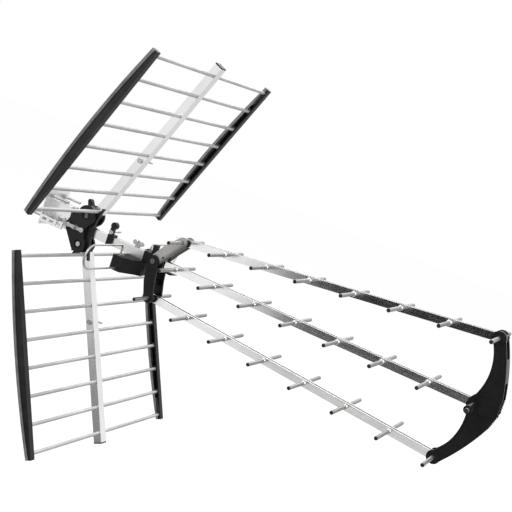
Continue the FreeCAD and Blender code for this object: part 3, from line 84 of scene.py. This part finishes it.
class Nodes:
    """A material's node tree, written from left to right."""

    def __init__(self, name):
        self.material = bpy.data.materials.new(name)
        self.material.use_nodes = True
        self.tree = self.material.node_tree
        self.shader = self.tree.nodes["Principled BSDF"]

    def add(self, kind, inputs=(), **settings):
        node = self.tree.nodes.new("ShaderNode" + kind)
        for key, value in settings.items():
            setattr(node, key, value)
        for socket, value in inputs:
            self.put(node.inputs[socket], value)
        return node

    def put(self, socket, value):
        if isinstance(value, bpy.types.NodeSocket):
            self.tree.links.new(value, socket)
        else:
            socket.default_value = value

    def surface(self, **inputs):
        for key, value in inputs.items():
            self.put(self.shader.inputs[key.replace("_", " ")], value)

    def show(self, shader):
        """Send a shader node to the material's surface, in place of the first one."""
        self.tree.links.new(shader.outputs[0], self.tree.nodes["Material Output"].inputs["Surface"])

    def spot(self, kind="Object"):
        """X, Y and Z of the place in metres, or of the surface's direction where kind is Normal."""
        return self.add("SeparateXYZ", [("Vector", self.add("TexCoord").outputs[kind])]).outputs

    def place(self, scale):
        """Object coordinates, in metres, stretched by a scale."""
        coordinates = self.add("TexCoord").outputs["Object"]
        return self.add("Mapping", [("Vector", coordinates), ("Scale", scale)]).outputs["Vector"]

    def noise(self, scale, stretch=(1, 1, 1), detail=4.0, rough=0.55):
        return self.add("TexNoise", [("Vector", self.place(stretch)), ("Scale", scale),
                                     ("Detail", detail), ("Roughness", rough)]).outputs["Fac"]

    def ramp(self, factor, stops):
        node = self.add("ValToRGB", [("Fac", factor)])
        points = node.color_ramp.elements
        while len(points) < len(stops):
            points.new(0.5)
        for point, (position, colour) in zip(points, stops):
            point.position = position
            point.color = tuple(colour) + (1.0,)
        return node.outputs["Color"]

    def spread(self, factor, low, high):
        return self.add("MapRange", [("Value", factor), ("To Min", low), ("To Max", high)]).outputs["Result"]

    def math(self, operation, a, b=0.0):
        return self.add("Math", [(0, a), (1, b)], operation=operation).outputs["Value"]

    def mix(self, factor, first, second):
        node = self.add("MixRGB", [("Fac", factor), ("Color1", first), ("Color2", second)])
        return node.outputs["Color"]

    def rounded(self, radius):
        """The surface direction with its edges rounded off."""
        return self.add("Bevel", [("Radius", radius)]).outputs["Normal"]

    def bump(self, height, distance, strength=1.0, under=None):
        inputs = [("Height", height), ("Distance", distance), ("Strength", strength)]
        if under is not None:
            inputs.append(("Normal", under))
        return self.add("Bump", inputs).outputs["Normal"]


# The radius of rounded edges in metres, and the mirror-like share of the plastics
EDGE = 0.0007
PLASTIC_SHEEN, BAR_SHEEN = 0.28, 0.3


def grey(value, warm=0.0):
    return (value + warm, value, value - warm)


def drawn_metal(name, dark, light, stretch, rough=(0.22, 0.38), warm=0.004, grain=900):
    """Extruded or drawn aluminium: fine lines along the piece, faint clouding and stains."""
    m = Nodes(name)
    lines = m.noise(grain, stretch, 2.0)
    cloud = m.noise(9, (1, 1, 1), 5.0)
    stain = m.noise(38, (1, 1, 1), 6.0, 0.65)
    mixed = m.math("ADD", m.math("MULTIPLY", lines, 0.35), m.math("MULTIPLY", cloud, 0.65))
    m.surface(Base_Color=m.ramp(mixed, [(0.3, grey(dark, warm)), (0.7, grey(light, warm))]),
              Metallic=1.0, Roughness=m.spread(m.math("ADD", lines, m.math("MULTIPLY", stain, 0.6)),
                                               rough[0] * 0.6, rough[1] * 1.25),
              Normal=m.bump(stain, 0.00004, 0.12, m.bump(lines, 0.00001, 0.2, m.rounded(EDGE * 0.6))))
    return m.material


def plated_steel(name, dark, light):
    """Zinc-plated steel: crystal flakes, small pits and darker handling marks."""
    m = Nodes(name)
    flakes = m.add("TexVoronoi", [("Vector", m.place((1, 1, 1))), ("Scale", 420.0)],
                   feature="F1").outputs["Color"]
    flake = m.add("SeparateColor", [("Color", flakes)]).outputs[0]
    cloud = m.noise(60, detail=6.0)
    mixed = m.math("ADD", m.math("MULTIPLY", flake, 0.3), m.math("MULTIPLY", cloud, 0.7))
    m.surface(Base_Color=m.ramp(mixed, [(0.25, grey(dark, -0.004)), (0.7, grey(light, 0.002))]),
              Metallic=1.0, Roughness=m.spread(mixed, 0.24, 0.5),
              Normal=m.bump(cloud, 0.0001, 0.35))
    return m.material


def moulded_plastic(name, dark, light, rough=(0.34, 0.5), painted_highlight_grey=None):
    """Black glass-filled plastic: fine spark-eroded grain, flow clouding and paler rubbed spots.

    The optional paler grey is a painted highlight on the faces square to the antenna's middle plane that face
    -Y.
    """
    m = Nodes(name)
    grain = m.noise(2600, detail=2.0)
    cloud = m.noise(24, detail=5.0)
    rubbed = m.noise(130, (1, 1, 1), 6.0, 0.7)
    mixed = m.math("ADD", m.math("MULTIPLY", cloud, 0.6), m.math("MULTIPLY", rubbed, 0.4))
    colour = m.ramp(mixed, [(0.35, grey(dark)), (0.62, grey(light * 0.75)), (0.8, grey(light))])
    roughness = m.spread(m.math("ADD", m.math("MULTIPLY", rubbed, 0.7), m.math("MULTIPLY", grain, 0.3)),
                         rough[0] * 0.85, rough[1] * 1.15)
    if painted_highlight_grey is not None:
        # Painted highlight: faces turned towards -Y get the paler grey, as far as the arm's highlight mask
        # allows.
        facing = m.math("MULTIPLY", m.spot("Normal")["Y"], -1.0)
        side = m.ramp(facing, [(0.8, grey(0.0)), (0.92, grey(1.0))])
        pale = m.ramp(mixed, [(0.3, grey(painted_highlight_grey * 0.8, 0.01)), (0.75, grey(painted_highlight_grey * 1.25, 0.012))])
        colour = m.mix(m.math("MULTIPLY", side, arm_painted_highlight(m)), colour, pale)
    m.surface(Base_Color=colour, Roughness=roughness, Specular_IOR_Level=PLASTIC_SHEEN,
              Normal=m.bump(rubbed, 0.00008, 0.3, m.bump(grain, 0.00003, 0.6, m.rounded(EDGE))))
    return m.material


# The upper rear arm's pivot and lean, its round spots without painted highlight that stand in for shaded
# holes, as ((along, across), radius), and the places across the arm where its painted highlight starts and is
# full, all in metres
ARM_PIVOT_X, ARM_LEAN = 0.3305, math.radians(50)
ARM_HOLE_SHADE_SPOTS = (((0.0236, -0.0049), 0.0029), ((0.0150, -0.0170), 0.0026))
HIGHLIGHT_PAINT_START, HIGHLIGHT_PAINT_FULL = -0.015, 0.001


def arm_painted_highlight(m):
    """How much painted highlight the upper rear arm's cheek gets, left out in round spots that stand in for
    shaded holes.
    """
    spot = m.spot()
    x, z = m.math("SUBTRACT", spot["X"], ARM_PIVOT_X), spot["Z"]
    cosine, sine = math.cos(ARM_LEAN), math.sin(ARM_LEAN)
    along = m.math("ADD", m.math("MULTIPLY", x, cosine), m.math("MULTIPLY", z, sine))
    across = m.math("SUBTRACT", m.math("MULTIPLY", z, cosine), m.math("MULTIPLY", x, sine))
    highlight_share = m.add("MapRange", [("Value", across), ("From Min", HIGHLIGHT_PAINT_START), ("From Max", HIGHLIGHT_PAINT_FULL)],
                  interpolation_type="SMOOTHSTEP").outputs["Result"]
    # Round spots without the painted highlight stand in for holes in shade.
    for (hole_along, hole_across), radius in ARM_HOLE_SHADE_SPOTS:
        off_along = m.math("SUBTRACT", along, hole_along)
        off_across = m.math("SUBTRACT", across, hole_across)
        away = m.math("SQRT", m.math("ADD", m.math("MULTIPLY", off_along, off_along),
                                     m.math("MULTIPLY", off_across, off_across)))
        highlight_share = m.math("MULTIPLY", highlight_share, m.math("GREATER_THAN", away, radius))
    return highlight_share


# The panels' pivots; the middle, half length, crown and bow of a side bar's rear edge, and the width
# of its pale strip, all in metres; and each panel's side of the boom and lean in degrees
PIVOT_X, PIVOT_Z = 0.133, 0.034
BAR_MIDDLE, BAR_HALF, BAR_CROWN, BAR_BOW, STRIP = 0.2287, 0.215, -0.0035, 0.010, 0.0068
PANELS = {"upper": (1, 65.6), "lower": (-1, 64.9)}


def bar_plastic(name, sign, angle):
    """A side bar's black plastic, with the pale grooved strip along its bowed rear edge.

    sign is 1 for the upper panel and -1 for the lower one, and angle is the panel's lean.
    """
    m = Nodes(name)
    spot = m.spot()
    x = m.math("SUBTRACT", spot["X"], PIVOT_X)
    z = m.math("SUBTRACT", m.math("MULTIPLY", spot["Z"], sign), PIVOT_Z)
    cosine, sine = math.cos(math.radians(angle)), math.sin(math.radians(angle))
    along = m.math("ADD", m.math("MULTIPLY", x, cosine), m.math("MULTIPLY", z, sine))
    ahead = m.math("SUBTRACT", m.math("MULTIPLY", x, sine), m.math("MULTIPLY", z, cosine))
    share = m.math("DIVIDE", m.math("SUBTRACT", along, BAR_MIDDLE), BAR_HALF)
    edge = m.math("ADD", m.math("MULTIPLY", m.math("MULTIPLY", share, share), BAR_BOW), BAR_CROWN)
    inset = m.math("SUBTRACT", ahead, edge)
    strip = m.math("LESS_THAN", inset, STRIP)
    cloud = m.noise(40, detail=5.0)
    grain = m.noise(2600, detail=2.0)
    dark = m.ramp(cloud, [(0.35, grey(0.006)), (0.75, grey(0.02))])
    pale = m.ramp(cloud, [(0.3, grey(0.16)), (0.75, grey(0.28))])
    m.surface(Base_Color=m.mix(strip, dark, pale), Roughness=m.spread(cloud, 0.26, 0.46),
              Specular_IOR_Level=BAR_SHEEN, Normal=m.bump(grain, 0.00003, 0.6, m.rounded(EDGE)))
    return m.material


def dress(material, *names):
    for name in names:
        thing = nodes[name]
        thing.data.materials.clear()
        thing.data.materials.append(material)


# Stretches of the fine drawing lines, each along one axis
along_x, along_y, along_z = (0.02, 1, 1), (1, 0.02, 1), (1, 1, 0.02)
levels = ("upper", "lower")
boom_metal = drawn_metal("boom_tube_metal", 0.74, 0.90, along_x, (0.16, 0.3))
channel_metal = drawn_metal("boom_channel_metal", 0.84, 0.94, along_x, (0.08, 0.16))
director_metal = drawn_metal("director_metal", 0.26, 0.44, along_y, (0.3, 0.46), 0.006)
rod_metal = drawn_metal("reflector_rod_metal", 0.42, 0.64, along_y, (0.32, 0.48), 0.004)
beam_metal = drawn_metal("reflector_beam_metal", 0.74, 0.9, along_z, (0.14, 0.26), 0.002)
wire_metal = drawn_metal("dipole_wire_metal", 0.40, 0.62, along_y, (0.22, 0.4), 0.01, 700)
zinc = plated_steel("bracket_zinc", 0.86, 0.97)
hardware = plated_steel("hardware_zinc", 0.36, 0.66)
nickel = plated_steel("socket_nickel", 0.5, 0.72)
dull = plated_steel("dull_steel", 0.10, 0.22)
black = moulded_plastic("black_plastic", 0.004, 0.014, (0.3, 0.46))
bar_black = {level: bar_plastic(level + "_bar_plastic", *PANELS[level]) for level in levels}
cap_black = moulded_plastic("cap_plastic", 0.01, 0.035, (0.36, 0.55))
# The upper rear arm's near cheek gets a painted highlight.
highlight_painted_arm = moulded_plastic("upper_arm_painted_highlight_plastic", 0.02, 0.08, (0.22, 0.36), painted_highlight_grey=0.42)

dress(boom_metal, "main_boom")
dress(channel_metal, "middle_boom", "upper_boom", "lower_boom")
dress(director_metal, "middle_directors", "upper_directors", "lower_directors")
dress(rod_metal, "upper_rods", "lower_rods")
dress(beam_metal, "upper_beam", "lower_beam")
dress(wire_metal, "dipole_conductor")
dress(zinc, "mast_bracket", "upper_jaw", "lower_jaw")
dress(nickel, "coax_socket")
dull_pieces = ("upper_pivot_screw", "rear_pivot_pin")
dress(dull, *dull_pieces)
dress(highlight_painted_arm, "upper_rear_arm")
metal_words = ("u_bolt", "nut", "bolt", "screw", "pin")
for name in nodes:
    if any(word in name for word in metal_words) and name not in dull_pieces:
        dress(hardware, name)
for level in levels:
    dress(bar_black[level], level + "_near_bar", level + "_far_bar")
    dress(black, level + "_beam_foot", level + "_beam_cap", level + "_front_arm",
          level + "_front_collars")
    dress(cap_black, level + "_director_caps")
dress(cap_black, "middle_director_caps")
dress(black, "lower_rear_arm", "hub_near_half", "hub_far_half", "junction_tray", "junction_lid",
      "rear_joint_block", "cable_clip", "front_pivot_sleeve", "boom_end_cap")

NODE_CREASE, PIECE_CREASE = math.radians(32), math.radians(40)


def smooth(mesh, crease):
    """Shade a mesh smoothly, apart from edges that turn by more than the crease."""
    for face in mesh.polygons:
        face.use_smooth = True
    mesh.set_sharp_from_angle(angle=crease)


for thing in nodes.values():
    smooth(thing.data, NODE_CREASE)


# Details that are too fine for the frame

def mesh_piece(name, body, material, fill):
    """A piece whose mesh is filled in by a function, riding on a body."""
    mesh = bpy.data.meshes.new(name)
    work = bmesh.new()
    fill(work)
    bmesh.ops.recalc_face_normals(work, faces=work.faces)
    work.to_mesh(mesh)
    work.free()
    mesh.materials.append(material)
    smooth(mesh, PIECE_CREASE)
    piece = bpy.data.objects.new(name, mesh)
    scene.collection.objects.link(piece)
    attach(piece, body)
    return piece


def axes_along(direction):
    """A direction's unit vector and two more square to it."""
    along = Vector(direction).normalized()
    helper = Vector((0, 0, 1)) if abs(along.z) < 0.9 else Vector((1, 0, 0))
    side = along.cross(helper).normalized()
    return along, side, along.cross(side)


def lathe(work, start, direction, profile, sides=20):
    """Turn a profile of (distance along, radius) about a line, and close both ends."""
    along, side, up = axes_along(direction)
    rings = []
    for distance, radius in profile:
        centre = Vector(start) + along * distance
        rings.append([work.verts.new(centre + (side * math.cos(turn) + up * math.sin(turn)) * radius)
                      for turn in (2 * math.pi * step / sides for step in range(sides))])
    for low, high in zip(rings, rings[1:]):
        for step in range(sides):
            following = (step + 1) % sides
            work.faces.new((low[step], low[following], high[following], high[step]))
    work.faces.new(rings[0])
    work.faces.new(rings[-1])


def thread(work, start, direction, length, radius, pitch=0.001, depth=0.00012, sides=12):
    """A screw thread as one continuous winding ridge."""
    along, side, up = axes_along(direction)
    heights = ((0.0, 0.0), (0.3, depth), (0.6, depth), (0.9, 0.0))
    columns = []
    for step in range(round(length / pitch * sides) + 1):
        turn = 2 * math.pi * step / sides
        outward = side * math.cos(turn) + up * math.sin(turn)
        base = Vector(start) + along * (pitch * (step / sides))
        columns.append([work.verts.new(base + along * (pitch * share) + outward * (radius + rise))
                        for share, rise in heights])
    for left, right in zip(columns, columns[1:]):
        for row in range(len(heights) - 1):
            work.faces.new((left[row], left[row + 1], right[row + 1], right[row]))
    for column in (columns[0], columns[-1]):
        work.faces.new(column)


MM = 0.001
DIRECTORS, FIRST_LENGTH, LAST_LENGTH = 8, 156 * MM, 180 * MM
# Radii of the drawn tubes, of their plugs and of the frame's own tubes; half a plug's length, and
# half a boom's width
TUBE, PLUG, CAD_TUBE = 4.1 * MM, 3.8 * MM, 3.3 * MM
LIP, CHANNEL = 0.8 * MM, 8 * MM
TUBE_CHAMFER, TUBE_END = 0.4 * MM, 0.86 * TUBE
# (distance along, radius)
PLUG_PROFILE = ((0, PLUG), (1.5 * LIP, PLUG), (2 * LIP, 0.7 * PLUG))
COLLAR_PROFILE = ((0, 1.45 * TUBE), (0.8 * MM, 1.4 * TUBE), (2.0 * MM, 1.12 * TUBE), (2.4 * MM, TUBE))
RIVET_PROFILE = ((0, 2.6 * MM), (0.5 * MM, 2.5 * MM), (0.9 * MM, 1.4 * MM), (0.4 * MM, 0.9 * MM))
riders = {"middle": "boom", "upper": "upper_director_boom", "lower": "lower_director_boom"}


def director_places(row):
    """The middle and the length of each director of a row, from its rear to its front."""
    low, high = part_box(row + "_directors")
    reach = CAD_TUBE
    rear_z, front_z = {"middle": (0, 0), "upper": (low[2] + reach, high[2] - reach),
                       "lower": (high[2] - reach, low[2] + reach)}[row]
    for index in range(DIRECTORS):
        share = index / (DIRECTORS - 1)
        yield (Vector((low[0] + reach + share * (high[0] - low[0] - 2 * reach), 0,
                       rear_z + share * (front_z - rear_z))),
               FIRST_LENGTH + share * (LAST_LENGTH - FIRST_LENGTH))


for row, body in riders.items():
    places = list(director_places(row))
    slope = (places[-1][0] - places[0][0]).normalized()
    top = Vector((-slope.z, 0, slope.x))

    def tubes(work):
        for middle, length in places:
            reach = length / 2 - LIP
            start = middle - Vector((0, reach, 0))
            lathe(work, start, (0, 1, 0), [(0, TUBE_END), (TUBE_CHAMFER, TUBE),
                                           (2 * reach - TUBE_CHAMFER, TUBE), (2 * reach, TUBE_END)], 24)

    def plugs(work):
        for middle, length in places:
            for side in (-1, 1):
                start = middle + Vector((0, side * (length / 2 - 2 * LIP), 0))
                lathe(work, start, (0, side, 0), PLUG_PROFILE, 20)

    def collars(work):
        for middle, _ in places:
            for side in (-1, 1):
                start = middle + Vector((0, side * CHANNEL, 0))
                lathe(work, start, (0, side, 0), COLLAR_PROFILE, 24)

    def rivets(work):
        for middle, _ in places:
            lathe(work, middle + top * CHANNEL, top, RIVET_PROFILE, 16)

    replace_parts(mesh_piece(row + "_director_tubes", body, director_metal, tubes),
                row + "_directors")
    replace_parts(mesh_piece(row + "_director_plugs", body, cap_black, plugs),
                row + "_director_caps")
    mesh_piece(row + "_tube_collars", body, channel_metal, collars)
    if row == "middle":
        mesh_piece(row + "_tube_rivets", body, hardware, rivets)

# The U-bolts' radius; the thread's start behind the bolt's ends, its length and how far it is sunk
BOLT, THREAD_START, THREAD_LENGTH, THREAD_SINK = 3.0 * MM, 34 * MM, 33 * MM, 0.05 * MM
for level in levels:
    low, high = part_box("u_bolt_" + level)
    height = (low[2] + high[2]) / 2
    leg = high[1] - BOLT

    def legs(work):
        for y in (-leg, leg):
            thread(work, (high[0] - THREAD_START, y, height), (1, 0, 0), THREAD_LENGTH,
                   BOLT - THREAD_SINK)

    mesh_piece("u_bolt_%s_thread" % level, level + "_u_bolt", hardware, legs)


lid_low, lid_high = (Vector(corner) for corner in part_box("junction_lid"))


def bar_between(work, low, high, chamfer):
    """A block with its upper edges chamfered."""
    x0, y0, z0 = low
    x1, y1, z1 = high
    rings = [[(x0, y0, z0), (x1, y0, z0), (x1, y1, z0), (x0, y1, z0)],
             [(x0, y0, z1 - chamfer), (x1, y0, z1 - chamfer), (x1, y1, z1 - chamfer), (x0, y1, z1 - chamfer)],
             [(x0 + chamfer, y0 + chamfer, z1), (x1 - chamfer, y0 + chamfer, z1),
              (x1 - chamfer, y1 - chamfer, z1), (x0 + chamfer, y1 - chamfer, z1)]]
    verts = [[work.verts.new(point) for point in ring] for ring in rings]
    for below, over in zip(verts, verts[1:]):
        for step in range(4):
            following = (step + 1) % 4
            work.faces.new((below[step], below[following], over[following], over[step]))
    work.faces.new(verts[0])
    work.faces.new(verts[-1])


RIBS, RIB, RIB_HEIGHT, RIB_SINK, RIB_CHAMFER = 7, 1.2 * MM, 0.9 * MM, 0.1 * MM, 0.35 * MM
# How far the ribs stay from the lid's front and rear, from the boom's middle and from the lid's ends
RIB_MARGIN, RIB_INNER, RIB_OUTER = 5 * MM, 13 * MM, 4 * MM


def lid_ribs(work):
    """Stiffening ribs across both ends of the lid, clear of the boom."""
    run = lid_high.x - lid_low.x - 2 * RIB_MARGIN
    for side in (-1, 1):
        for index in range(RIBS):
            x = lid_low.x + RIB_MARGIN + run * index / (RIBS - 1)
            near, far = sorted((side * RIB_INNER, side * (lid_high.y - RIB_OUTER)))
            bar_between(work, (x - RIB / 2, near, lid_high.z - RIB_SINK),
                        (x + RIB / 2, far, lid_high.z + RIB_HEIGHT), RIB_CHAMFER)


mesh_piece("junction_lid_ribs", "boom", black, lid_ribs)


# Floor and light

def see(tree):
    """1 where a ray comes from the camera or from a mirror-like surface."""
    path = tree.nodes.new("ShaderNodeLightPath")
    either = tree.nodes.new("ShaderNodeMath")
    either.operation = "MAXIMUM"
    tree.links.new(path.outputs["Is Camera Ray"], either.inputs[0])
    tree.links.new(path.outputs["Is Glossy Ray"], either.inputs[1])
    return either.outputs[0]


def stage_plane(name, corners, material):
    mesh = bpy.data.meshes.new(name)
    mesh.from_pydata(corners, [], [(0, 1, 2, 3)])
    mesh.materials.append(material)
    plane = bpy.data.objects.new(name, mesh)
    scene.collection.objects.link(plane)
    plane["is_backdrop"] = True
    return plane


def ray_kind(tree, name):
    return tree.nodes.new("ShaderNodeLightPath").outputs[name]


def glow_between(m, axis, near, far, near_light, far_light):
    """An emission that changes softly along one axis of object space."""
    share = m.add("MapRange", [("Value", m.spot()[axis]), ("From Min", near), ("From Max", far),
                               ("To Min", near_light), ("To Max", far_light)],
                  interpolation_type="SMOOTHSTEP").outputs["Result"]
    return m.add("Emission", [("Color", (1, 1, 1, 1)), ("Strength", share)])


FLOOR_DEPTH, FLOOR_REACH, FLOOR_SHADE, FLOOR_GLOW = 0.35, 9.0, 0.3, 0.82
# What metal mirrors of the floor: a span of y in metres, and (share of the span, brightness)
MIRROR_NEAR, MIRROR_FAR = -3.0, 1.0
MIRROR_STOPS = ((0.19, 1.0), (0.38, 0.24), (0.62, 0.24), (0.82, 0.8))
floor_z = cad_low[2] - FLOOR_DEPTH
ground = Nodes("floor_white")
speckle = ground.noise(35, detail=3.0)
ground.surface(Base_Color=ground.ramp(speckle, [(0.3, grey(0.84)), (0.7, grey(0.88))]), Roughness=0.9)
lit = ground.add("BsdfDiffuse", [("Color", grey(FLOOR_SHADE) + (1,))]).outputs[0]
glow = ground.add("Emission", [("Color", (1, 1, 1, 1)), ("Strength", FLOOR_GLOW)]).outputs[0]
pale = ground.add("AddShader", [(0, lit), (1, glow)]).outputs[0]
seen = ground.add("MixShader", [(0, ray_kind(ground.tree, "Is Camera Ray")),
                                (1, ground.shader.outputs[0]), (2, pale)]).outputs[0]
share = ground.add("MapRange", [("Value", ground.spot()["Y"]), ("From Min", MIRROR_NEAR),
                                ("From Max", MIRROR_FAR)]).outputs["Result"]
gleam = ground.ramp(share, [(stop, grey(value)) for stop, value in MIRROR_STOPS])
mirrored = ground.add("Emission", [("Color", gleam)]).outputs[0]
ground.show(ground.add("MixShader", [(0, ray_kind(ground.tree, "Is Glossy Ray")), (1, seen),
                                     (2, mirrored)]))
stage_plane("floor", [(-FLOOR_REACH, -FLOOR_REACH, floor_z), (FLOOR_REACH, -FLOOR_REACH, floor_z),
                      (FLOOR_REACH, FLOOR_REACH, floor_z), (-FLOOR_REACH, FLOOR_REACH, floor_z)],
            ground.material)

# A studio card that shows only in mirror-like surfaces. It is bright at its left and dark beyond the
# fade, and darkens the booms' sides towards their front.
CARD_Y, CARD_LEFT, CARD_RIGHT, CARD_LOW, CARD_TOP = -2.6, -0.95, 1.7, -0.79, 0.75
FADE_START, FADE_END, CARD_BRIGHT, CARD_DARK = 0.38, 0.66, 1.0, 0.02
card = Nodes("studio_card")
card.show(glow_between(card, "X", CARD_LEFT + FADE_START, CARD_LEFT + FADE_END, CARD_BRIGHT, CARD_DARK))
wall = stage_plane("studio_card", [(CARD_LEFT, CARD_Y, CARD_LOW), (CARD_RIGHT, CARD_Y, CARD_LOW),
                                   (CARD_RIGHT, CARD_Y, CARD_TOP), (CARD_LEFT, CARD_Y, CARD_TOP)],
                   card.material)
wall.visible_camera = False
wall.visible_diffuse = False
wall.visible_shadow = False

# The world's strength as light on the object, and as the white that is seen
WORLD_LIGHT, WORLD_WHITE = 0.55, 1.0
world = bpy.data.worlds.new("studio")
world.use_nodes = True
scene.world = world
background = world.node_tree.nodes["Background"]
background.inputs["Color"].default_value = (1, 1, 1, 1)
strength = world.node_tree.nodes.new("ShaderNodeMapRange")
strength.inputs["To Min"].default_value = WORLD_LIGHT
strength.inputs["To Max"].default_value = WORLD_WHITE
world.node_tree.links.new(see(world.node_tree), strength.inputs["Value"])
world.node_tree.links.new(strength.outputs["Result"], background.inputs["Strength"])


ANTENNA_MIDDLE = Vector((0.55, 0, 0))


def lamp(name, place, size, power):
    """A soft square lamp aimed at the antenna's middle."""
    light = bpy.data.lights.new(name, "AREA")
    light.size = size
    light.energy = power
    thing = bpy.data.objects.new(name, light)
    thing.location = place
    thing.rotation_euler = (ANTENNA_MIDDLE - Vector(place)).to_track_quat("-Z", "Y").to_euler()
    scene.collection.objects.link(thing)


lamp("key_lamp", (-0.8, -2.6, 2.8), 2.2, 55)
lamp("fill_lamp", (3.2, -1.2, 1.6), 2.0, 22)
lamp("rim_lamp", (0.2, 2.8, 2.2), 2.0, 30)

scene.view_settings.view_transform = "Standard"
low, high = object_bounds()
